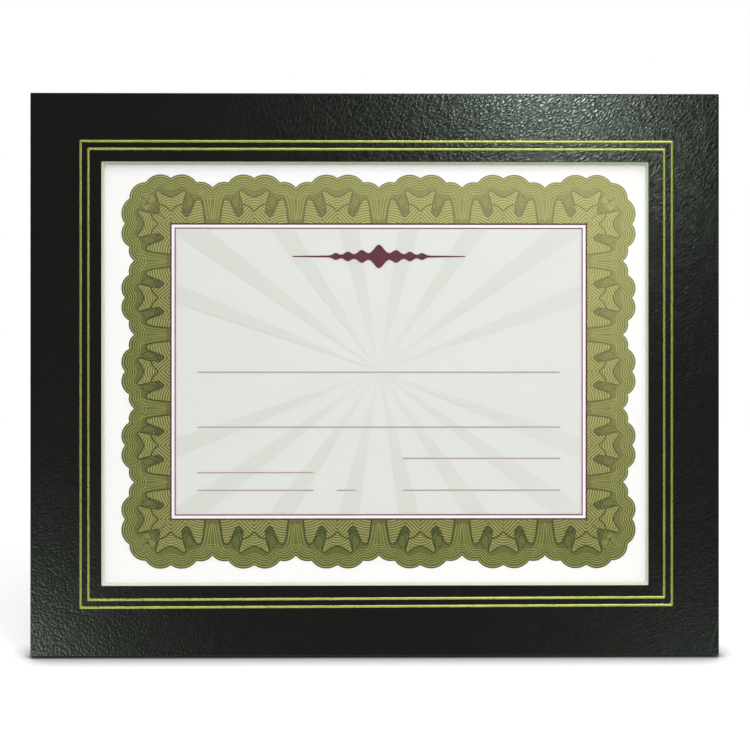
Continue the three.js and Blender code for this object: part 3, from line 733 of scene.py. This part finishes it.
band = {
    "drift": 14, "dark": linear(88, 90, 38), "light": linear(96, 99, 44), "waveScale": 560,
    "bend": 2.2, "bendScale": 0.4,
    # Screens: turn in radians, colour, amount.
    "screens": (
        (0.6, linear(136, 136, 72), 0.22), (-0.75, linear(70, 72, 30), 0.24),
        (1.57, linear(136, 136, 72), 0.12),
    ),
}


def bandMaterial():
    # Fine crossing line screens over an olive that drifts a little across the sheet.
    material, graph = newMaterial("oliveBand")
    drift = graph.ramp(graph.noise(band["drift"], 2), 0.35, 0.65)
    shade = graph.mix(drift, band["dark"], band["light"])
    for turn, tint, amount in band["screens"]:
        turned = graph.mapped(graph.place(), "Rotation", (0, turn, 0))
        wave = graph.add("ShaderNodeTexWave", {
            "Vector": turned, "Scale": band["waveScale"], "Distortion": band["bend"],
            "Detail": 1.0, "Detail Scale": band["bendScale"],
        }).outputs["Fac"]
        shade = graph.mix(graph.ramp(wave, 0.35, 0.85, 0.0, amount), shade, tint)
    # The band gets the painted glare towards its upper right.
    inkSurface(graph, withPaintedGlare(graph, shade))
    return material


# The olive inks all get the painted glare towards the upper right.
inks = {
    ink: inkMaterial(name, dark, light, paintedGlare=True)
    for ink, name, dark, light in (
        ("dark", "oliveDark", (38, 48, 16), (54, 63, 26)),
        ("light", "oliveLight", (144, 147, 74), (160, 162, 88)),
        ("shade", "oliveShade", (66, 71, 28), (77, 82, 36)),
        ("hatch", "oliveHatch", (154, 153, 86), (170, 167, 100)),
        ("smudge", "oliveSmudge", (68, 78, 38), (78, 87, 45)),
        ("outline", "greenOutline", (34, 54, 30), (50, 68, 44)),
    )
}


def addRibbon(mesh, line, width, closed=False):
    points, faces = mesh
    count = len(line)
    if count < 2:
        return
    first = len(points)
    for i, (x, z) in enumerate(line):
        before = line[i - 1] if i or closed else line[i]
        after = line[(i + 1) % count] if i < count - 1 or closed else line[i]
        dx, dz = after[0] - before[0], after[1] - before[1]
        length = math.hypot(dx, dz) or 1.0
        nx, nz = -dz / length * width / 2, dx / length * width / 2
        points.append((x + nx, z + nz))
        points.append((x - nx, z - nz))
    last = count if closed else count - 1
    for i in range(last):
        a, b = first + 2 * i, first + 2 * ((i + 1) % count)
        faces.append((a, a + 1, b + 1, b))


def signedArea(loop):
    return sum(a[0] * b[1] - b[0] * a[1] for a, b in zip(loop, loop[1:] + loop[:1]))


def addPatch(mesh, outline):
    points, faces = mesh
    first = len(points)
    loop = outline if signedArea(outline) > 0 else outline[::-1]
    points.extend(loop)
    faces.append(tuple(range(first, first + len(loop))))


def smoothLine(points, steps=6):
    line = []
    for i in range(len(points) - 1):
        p0 = points[max(i - 1, 0)]
        p1, p2 = points[i], points[i + 1]
        p3 = points[min(i + 2, len(points) - 1)]
        for step in range(steps):
            t = step / steps
            line.append(tuple(
                0.5 * (2 * b + (c - a) * t + (2 * a - 5 * b + 4 * c - d) * t * t
                       + (3 * b - a - 3 * c + d) * t ** 3)
                for a, b, c, d in zip(p0, p1, p2, p3)
            ))
    line.append(points[-1])
    return line


def isInside(point, polygon):
    x, z = point
    inside = False
    for (ax, az), (bx, bz) in zip(polygon, polygon[1:] + polygon[:1]):
        if (az > z) != (bz > z) and x < (bx - ax) * (z - az) / (bz - az) + ax:
            inside = not inside
    return inside


def clipped(line, polygon):
    parts, part = [], []
    for point in line:
        if isInside(point, polygon):
            part.append(point)
        elif part:
            parts.append(part)
            part = []
    if part:
        parts.append(part)
    return [part for part in parts if len(part) > 1]


# One scallop's motif, right half: place along the panel edge and height from it, in mm.
motif = {
    "pitch": 41.46, "reach": 26, "shake": 0.00003, "seed": 5, "bowlShare": 0.28,
    # Arcs of hatch: middle, first radius, step, angles.
    "wingArcs": ((0, 4.6), 2.8, 1.28, (90, 15)),
    "tentArcs": ((17.0, -13.0), 14.2, 1.26, (150, 85)), "arcs": 10,
    "slants": 8, "slantFrom": -7.0, "slantStep": 1.9, "slantRun": 9.0, "slantHeights": (0.3, 9.6),
    "hatchWidth": 0.5, "wingWidth": 0.62, "veeWidth": 0.66, "bowlWidth": 0.62, "leafWidth": 0.4,
    "innerWidth": 0.44, "notchWidth": 0.30, "echoWidth": 0.22, "echoScale": (0.88, 0.93),
    "echoShift": (0.05, 0.55), "echoFrom": 8,
    "dot": ((9.6, 13.9), 0.5), "cornerDot": ((11.7, 11.7), 0.6), "dotTurn": (0, 340, 9),
    # The corner's fan: its root, where the lines start, and each line's angle and reach.
    "fanRoot": (7.2, 7.2), "fanFrom": 4.2, "fanSteps": 12, "fanWidth": 0.3,
    "fan": ((48, 9.6), (56, 9.2), (64, 8.4), (72, 7.2), (80, 5.8)),
}
wing = smoothLine([
    (0, 13.4), (2.5, 14.2), (4.4, 15.4), (5.9, 16.4), (7.0, 16.4), (7.5, 15.6),
    (7.2, 14.2), (6.6, 12.7), (6.2, 11.0), (5.7, 9.8),
])
lowerVee = smoothLine([(5.7, 9.8), (4.4, 9.5), (2.8, 8.8), (1.3, 7.5), (0, 6.2)])
bowl = smoothLine([
    (5.7, 9.8), (6.0, 8.2), (5.6, 6.4), (6.2, 4.8), (7.3, 3.9), (8.6, 4.2), (9.8, 5.7),
    (10.5, 7.8), (11.6, 10.2), (12.4, 11.8), (13.7, 12.6), (15.1, 11.8), (15.9, 9.2),
    (16.4, 6.0), (16.8, 2.4), (17.1, 0.3),
])
smudge = smoothLine([
    (5.8, 8.3), (7.1, 7.7), (8.9, 7.7), (10.0, 7.8), (9.1, 6.2), (7.4, 5.4), (6.1, 6.1), (5.8, 8.3),
], 4)[:-1]
cutSmudge = [(5.6, 8.4), (6.6, 9.0), (7.9, 8.0), (7.2, 7.2), (6.2, 6.2), (5.6, 6.6)]
leaf = smoothLine([
    (7.9, 14.6), (7.3, 12.0), (7.4, 9.4), (8.7, 8.0), (10.3, 8.9), (11.2, 11.4), (10.4, 13.4),
])
innerBowl = smoothLine([(6.8, 7.2), (6.6, 6.0), (7.3, 5.0), (8.4, 5.2), (9.2, 6.4), (9.5, 7.3)])
notchLines = [
    smoothLine([(13.6, 15.6), (15.2, 14.6), (16.6, 11.4), (17.6, 6.4), (18.4, 2.4)]),
    smoothLine([(14.6, 17.0), (16.6, 15.4), (18.0, 12.2), (18.9, 7.0), (19.6, 2.6)]),
    smoothLine([(18.6, 15.6), (19.5, 12.2), (20.1, 6.0), (20.5, 2.0)]),
]


def arcLine(middle, radius, start, end, steps=40):
    return [
        (middle[0] + radius * math.cos(math.radians(start + (end - start) * i / steps)),
         middle[1] + radius * math.sin(math.radians(start + (end - start) * i / steps)))
        for i in range(steps + 1)
    ]


def straight(start, end, steps=40):
    return [
        (start[0] + (end[0] - start[0]) * i / steps, start[1] + (end[1] - start[1]) * i / steps)
        for i in range(steps + 1)
    ]


def motifLines():
    # Lines of the right half by ink: (points, width).
    share = int(len(bowl) * motif["bowlShare"])
    tent = bowl[share:] + [(7.3, 0.4)]
    under = [(0, 6.2)] + lowerVee[::-1] + bowl[:share] + [(7.8, 0.4), (0, 0.4)]
    hatch = []
    for arcs, shape in ((motif["wingArcs"], wing + lowerVee), (motif["tentArcs"], tent)):
        middle, radius, step, angles = arcs
        for i in range(motif["arcs"]):
            hatch += clipped(arcLine(middle, radius + i * step, *angles), shape)
    low, high = motif["slantHeights"]
    for i in range(motif["slants"]):
        start = motif["slantFrom"] + i * motif["slantStep"]
        hatch += clipped(straight((start + motif["slantRun"], low), (start, high)), under)
    (alongScale, upScale), (along, up) = motif["echoScale"], motif["echoShift"]
    echo = [(x * alongScale + along, z * upScale + up) for x, z in wing[motif["echoFrom"]:]]
    return {
        "hatch": [(line, motif["hatchWidth"]) for line in hatch],
        "dark": [
            (wing, motif["wingWidth"]), (lowerVee, motif["veeWidth"]), (bowl, motif["bowlWidth"]),
            (leaf, motif["leafWidth"]), (innerBowl, motif["innerWidth"]),
        ],
        "light": [(line, motif["notchWidth"]) for line in notchLines]
        + [(echo, motif["echoWidth"])],
    }


def mirrored(line):
    return [(-x, z) for x, z in line[::-1]]


# The corner's leaf is a fan of light lines on each side of the diagonal.
cornerFan = [
    straight(*(
        arcLine(motif["fanRoot"], away, degrees, degrees, 1)[0]
        for away in (motif["fanFrom"], reach)
    ), motif["fanSteps"])
    for degrees, reach in motif["fan"]
]


def unitMesh(ink, leftCut, rightCut):
    # A whole motif in one ink. A cut half stops at the corner's diagonal.
    mesh = ([], [])
    reach = motif["reach"]
    corner = [(0, 0), (reach, reach), (0, reach)]
    for cut, flip in ((rightCut, False), (leftCut, True)):
        lines, patches = [], []
        for line, width in motifLines().get(ink, []):
            lines += [(part, width) for part in (clipped(line, corner) if cut else [line])]
        if ink == "smudge":
            patches.append(cutSmudge if cut else smudge)
        if ink == "light" and cut:
            lines += [(line, motif["fanWidth"]) for line in cornerFan]
        if ink == "dark" and not cut:
            patches.append(arcLine(*motif["dot"], *motif["dotTurn"]))
        if ink == "dark" and rightCut and cut:
            patches.append(arcLine(*motif["cornerDot"], *motif["dotTurn"]))
        for line, width in lines:
            addRibbon(mesh, mirrored(line) if flip else line, width)
        for patch in patches:
            addPatch(mesh, mirrored(patch) if flip else patch)
    return mesh


def repeatGroup():
    group = bpy.data.node_groups.new("repeatMotif", "GeometryNodeTree")
    sockets = {}
    for name, kind in (
        ("Places", "NodeSocketGeometry"), ("Motifs", "NodeSocketCollection"),
        ("Ink", "NodeSocketMaterial"), ("Shake", "NodeSocketFloat"), ("Seed", "NodeSocketInt"),
    ):
        sockets[name] = group.interface.new_socket(name=name, in_out="INPUT", socket_type=kind)
    group.interface.new_socket(name="Print", in_out="OUTPUT", socket_type="NodeSocketGeometry")
    graph = Graph(group)
    start = graph.add("NodeGroupInput")

    def attribute(name, kind):
        node = graph.add("GeometryNodeInputNamedAttribute", {"Name": name}, data_type=kind)
        return next(s for s in node.outputs if s.enabled and s.name == "Attribute")

    shake = graph.add(
        "FunctionNodeRandomValue", {"Seed": start.outputs["Seed"]}, data_type="FLOAT_VECTOR"
    )
    vectors = [s for s in shake.inputs if s.type == "VECTOR"]
    vectors[0].default_value = (-1, 0, -1)
    vectors[1].default_value = (1, 0, 1)
    moved = next(s for s in shake.outputs if s.type == "VECTOR")
    offset = graph.vector("SCALE", moved, start.outputs["Shake"])
    points = graph.add(
        "GeometryNodeSetPosition", {"Geometry": start.outputs["Places"], "Offset": offset}
    ).outputs[0]
    motifs = graph.add(
        "GeometryNodeCollectionInfo",
        {"Collection": start.outputs["Motifs"], "Separate Children": True, "Reset Children": True},
    ).outputs[0]
    euler = attribute("turn", "FLOAT_VECTOR")
    turn = graph.add("FunctionNodeEulerToRotation", {0: euler}).outputs[0]
    placed = graph.add("GeometryNodeInstanceOnPoints", {
        "Points": points, "Instance": motifs, "Pick Instance": True,
        "Instance Index": attribute("motif", "INT"), "Rotation": turn,
        "Scale": attribute("stretch", "FLOAT_VECTOR"),
    }).outputs[0]
    real = graph.add("GeometryNodeRealizeInstances", {"Geometry": placed}).outputs[0]
    inked = graph.add(
        "GeometryNodeSetMaterial", {"Geometry": real, "Material": start.outputs["Ink"]}
    ).outputs[0]
    graph.add("NodeGroupOutput", {0: inked})
    return group, sockets


def motifPlaces():
    # Where each motif stands: (x, z, turn about y, stretch along the edge, motif).
    places = []
    middleX, middleZ = printing["middle"]
    width, height = printing["width"], printing["height"]
    level, upright = (width, height, printing["across"]), (height, width, printing["up"])
    for side, (length, other, count) in enumerate((level, upright, level, upright)):
        pitch = length / count
        angle = math.radians(90 * side)
        for i in range(count + 1):
            along = -length / 2 + i * pitch
            x = along * math.cos(angle) + other / 2 * math.sin(angle)
            z = -along * math.sin(angle) + other / 2 * math.cos(angle)
            unit = 1 if i == 0 else 2 if i == count else 0
            places.append((middleX + x, middleZ + z, angle, pitch / motif["pitch"], unit))
    return places


def makeMotifs():
    group, sockets = repeatGroup()
    places = motifPlaces()
    for ink in ("hatch", "light", "smudge", "dark"):
        units = bpy.data.collections.new("motifs" + ink)
        for name, leftCut, rightCut in (
            ("a", False, False), ("b", True, False), ("c", False, True),
        ):
            points, faces = unitMesh(ink, leftCut, rightCut)
            mesh = bpy.data.meshes.new(ink + name)
            mesh.from_pydata([(x * mm, 0, z * mm) for x, z in points], [], faces)
            units.objects.link(bpy.data.objects.new(name + ink, mesh))
        mesh = bpy.data.meshes.new("places" + ink)
        depth = printing[ink + "Depth"]
        mesh.from_pydata([(p[0] * mm, depth * mm, p[1] * mm) for p in places], [], [])
        for name, values in (
            ("turn", [(0, p[2], 0) for p in places]), ("stretch", [(p[3], 1, 1) for p in places]),
        ):
            held = mesh.attributes.new(name, "FLOAT_VECTOR", "POINT")
            held.data.foreach_set("vector", [c for value in values for c in value])
        held = mesh.attributes.new("motif", "INT", "POINT")
        held.data.foreach_set("value", [p[4] for p in places])
        holder = newObject("places" + ink, mesh)
        modifier = holder.modifiers.new("repeatMotif", "NODES")
        modifier.node_group = group
        modifier[sockets["Motifs"].identifier] = units
        modifier[sockets["Ink"].identifier] = inks[ink]
        modifier[sockets["Shake"].identifier] = motif["shake"]
        modifier[sockets["Seed"].identifier] = motif["seed"]
        bpy.context.view_layer.update()
        evaluated = holder.evaluated_get(bpy.context.evaluated_depsgraph_get())
        plain = bpy.data.meshes.new_from_object(evaluated)
        plain.transform(panelMatrix)
        plain.name = "guilloche" + ink.capitalize()
        plain.materials.clear()
        plain.materials.append(inks[ink])
        plain.polygons.foreach_set("material_index", [0] * len(plain.polygons))
        piece = newObject(plain.name, plain)
        bpy.data.objects.remove(holder)
        for unit in list(units.objects):
            bpy.data.objects.remove(unit)
        bpy.data.collections.remove(units)
        settle(piece, "olive_ink")
        print(plain.name, len(plain.polygons), "faces")


makeMotifs()
print("scallop motifs are printed")


# The scalloped outline comes from the CAD band, and echo lines follow it inwards.

echoes = {
    "step": 0.35, "flat": 1e-5, "turnStep": 0.2, "slack": 0.06,
    # For each ink: how far inside the outline a line runs, and its width.
    "outline": ((0.12, 0.56),),
    "light": ((0.72, 0.44), (2.1, 0.34), (3.2, 0.34), (4.3, 0.34), (5.4, 0.3)),
    "shade": ((1.4, 0.4), (2.65, 0.34), (3.75, 0.34), (4.85, 0.34)),
}


def bandOutline():
    # Outer edge of the CAD band's front, as a closed loop in panel x and z.
    back = panelMatrix.inverted()
    mesh = nodes["border_print"].data
    local = [back @ v.co for v in mesh.vertices]
    front = min(p.y for p in local)
    edges = {}
    for polygon in mesh.polygons:
        corners = [local[i] for i in polygon.vertices]
        if all(p.y < front + echoes["flat"] for p in corners):
            loop = [(round(p.x / mm, 3), round(p.z / mm, 3)) for p in corners]
            for a, b in zip(loop, loop[1:] + loop[:1]):
                edges.setdefault(tuple(sorted((a, b))), []).append((a, b))
    after = {}
    for found in edges.values():
        if len(found) == 1:
            after[found[0][0]] = found[0][1]
    start = max(after, key=lambda p: p[1])
    loop, here = [start], after[start]
    while here != start:
        loop.append(here)
        here = after[here]
    return loop


def resample(loop, step):
    points = []
    for a, b in zip(loop, loop[1:] + loop[:1]):
        count = max(1, round(math.hypot(b[0] - a[0], b[1] - a[1]) / step))
        for i in range(count):
            t = i / count
            points.append((a[0] + (b[0] - a[0]) * t, a[1] + (b[1] - a[1]) * t))
    return points


def insetLoop(loop, distance):
    # The loop moved inwards, round its own notches, without the parts that cross.
    count = len(loop)
    tree = kdtree.KDTree(count)
    for i, (x, z) in enumerate(loop):
        tree.insert((x, z, 0), i)
    tree.balance()
    sign = 1 if signedArea(loop) > 0 else -1
    moved = []
    for i, (x, z) in enumerate(loop):
        before, after = loop[i - 1], loop[(i + 1) % count]
        a = math.atan2(z - before[1], x - before[0]) + sign * math.pi / 2
        b = math.atan2(after[1] - z, after[0] - x) + sign * math.pi / 2
        swing = (b - a + math.pi) % (2 * math.pi) - math.pi
        steps = max(1, int(abs(swing) / echoes["turnStep"]))
        for step in range(steps):
            angle = a + swing * (step + 0.5) / steps
            moved.append((x + distance * math.cos(angle), z + distance * math.sin(angle)))
    return [p for p in moved if tree.find((p[0], p[1], 0))[2] > distance - echoes["slack"]]


def makeEchoes():
    outline = resample(bandOutline(), echoes["step"])
    for name, ink, depth in (
        ("scallopEdge", "outline", printing["outlineDepth"]),
        ("scallopEchoes", "light", printing["echoDepth"]),
        ("scallopShades", "shade", printing["shadeDepth"]),
    ):
        points, faces = [], []
        for distance, width in echoes[ink]:
            addRibbon((points, faces), insetLoop(outline, distance), width, closed=True)
        piece = makeObject(name, [(x, depth, z) for x, z in points], faces, inks[ink])
        settle(piece, "olive_ink")


makeEchoes()
print("echo lines follow the scallops")


# A pale pink line runs just inside the inner keyline, over the white gap there.

pinkLine = {
    "beyond": 0.06, "depth": 0.006, "share": 0.5, "dark": (218, 196, 203), "light": (228, 210, 216),
}


def boxOnPanel(node):
    back = panelMatrix.inverted()
    local = [back @ v.co for v in nodes[node].data.vertices]
    return {
        "left": min(p.x for p in local) / mm, "right": max(p.x for p in local) / mm,
        "bottom": min(p.z for p in local) / mm, "top": max(p.z for p in local) / mm,
    }, min(p.y for p in local) / mm


def makePinkLine():
    field, front = boxOnPanel("panel_field")
    keyline, keyFront = boxOnPanel("panel_keyline_inner")
    gap = field["left"] - keyline["left"]
    depth = min(front, keyFront) - pinkLine["depth"]
    points = []
    for by in (gap * pinkLine["share"], -pinkLine["beyond"]):
        box = grown(field, by)
        for x, z in (("left", "bottom"), ("right", "bottom"), ("right", "top"), ("left", "top")):
            points.append((box[x], depth, box[z]))
    faces = [(i, (i + 1) % 4, 4 + (i + 1) % 4, 4 + i) for i in range(4)]
    ink = inkMaterial("pinkInk", pinkLine["dark"], pinkLine["light"])
    settle(makeObject("pinkLine", points, faces, ink), "rose_ink")


makePinkLine()
print("pink line is printed")


# Plain finishes for the CAD nodes that stay.

film = {"blotScale": 25, "rough": (0.10, 0.16), "ior": 1.4}
beams = {
    "depth": 2.8, "rise": 0.4, "away": (0.008, 0.045, 0.18, 0.58), "side": (0.02, 0.10, 1.0, 0.65),
    "pale": linear(218, 221, 214), "deep": linear(206, 208, 199), "rough": 0.65, "gloss": 0.2,
}
plating = {
    "stretch": (0.06, 1, 1), "brushScale": 3200, "wearScale": 190, "wear": (0.45, 0.7),
    "bright": (0.40, 0.39, 0.37, 1), "worn": (0.25, 0.24, 0.22, 1),
    "rough": (0.3, 1.6, 0.2, 0.42), "bump": (0.00001, 0.4),
}


def filmMaterial():
    # Clear to lamps and to light bounced off the sheet, glossy to everything else.
    material, graph = newMaterial("clearFilm")
    path = graph.add("ShaderNodeLightPath").outputs
    through = graph.math("MAXIMUM", path["Is Shadow Ray"], path["Is Diffuse Ray"])
    sheet = graph.principled({
        "Base Color": gray(1), "IOR": film["ior"], "Transmission Weight": 1.0,
        "Roughness": graph.ramp(graph.noise(film["blotScale"], 2), *noiseSpan, *film["rough"]),
    })
    clear = graph.plain("ShaderNodeBsdfTransparent", 1)
    graph.surface(graph.mixShaders(through, sheet, clear))
    return material


def beamMaterial():
    # The beams fade towards their hub and a little to the right.
    material, graph = newMaterial("paleBeams")
    middleX, middleZ = printing["middle"]
    hub = toWorld(middleX, beams["depth"], middleZ + beams["rise"])
    away = graph.vector("DISTANCE", graph.place(), hub, "Value")
    away, side = graph.ramp(away, *beams["away"]), graph.ramp(graph.axis("X"), *beams["side"])
    graph.surface(graph.principled({
        "Base Color": graph.mix(graph.times(away, side), beams["pale"], beams["deep"]),
        "Roughness": beams["rough"], "Specular IOR Level": beams["gloss"],
    }))
    return material


def nickelMaterial():
    material, graph = newMaterial("nickelPlate")
    stretched = graph.mapped(graph.place(), "Scale", plating["stretch"])
    brush = graph.noise(plating["brushScale"], 3, 0.6, stretched)
    wear = graph.ramp(graph.noise(plating["wearScale"], 4, 0.65), *plating["wear"])
    graph.surface(graph.principled({
        "Base Color": graph.mix(wear, plating["bright"], plating["worn"]), "Metallic": 1.0,
        "Roughness": graph.ramp(graph.plus(brush, wear), *plating["rough"]),
        "Normal": graph.bump(brush, *plating["bump"]),
    }))
    return material


burgundy = inkMaterial("burgundyInk", (84, 30, 50), (102, 42, 62))
rose = inkMaterial("roseInk", (176, 128, 138), (192, 146, 154))
fieldTint = inkMaterial("paleGreenTint", (216, 220, 213), (219, 222, 216), scale=40)
nickel = nickelMaterial()
blackPaper, greyBoard = sheetMaterial("blackPaper"), sheetMaterial("greyBoard")
finishes = {
    "window_film": filmMaterial(), "certificate": sheetMaterial("certificatePaper"),
    "border_print": bandMaterial(), "panel_keyline_": burgundy, "panel_field": fieldTint,
    "panel_rays": beamMaterial(), "heading_ornament": burgundy, "writing_line_": rose,
    "spacer_": greyBoard, "back_lining": blackPaper, "back_board": sheetMaterial("blackBoard"),
    "back_paper": blackPaper, "hinge_": nickel, "sawtooth_hanger": nickel, "hanger_rivet_": nickel,
    "easel_leg_board": greyBoard, "easel_leg_cover": leatherSkin,
}
roundedNodes = ("hinge_", "hanger_", "sawtooth", "easel_leg_cover", "back_board")
roundedAngle = 32
for name, node in nodes.items():
    finish = next((finishes[key] for key in finishes if name.startswith(key)), None)
    if finish:
        node.data.materials.clear()
        node.data.materials.append(finish)
    if name.startswith(roundedNodes):
        node.data.polygons.foreach_set("use_smooth", [True] * len(node.data.polygons))
        sharpen(node.data, roundedAngle)
print("finishes are on")
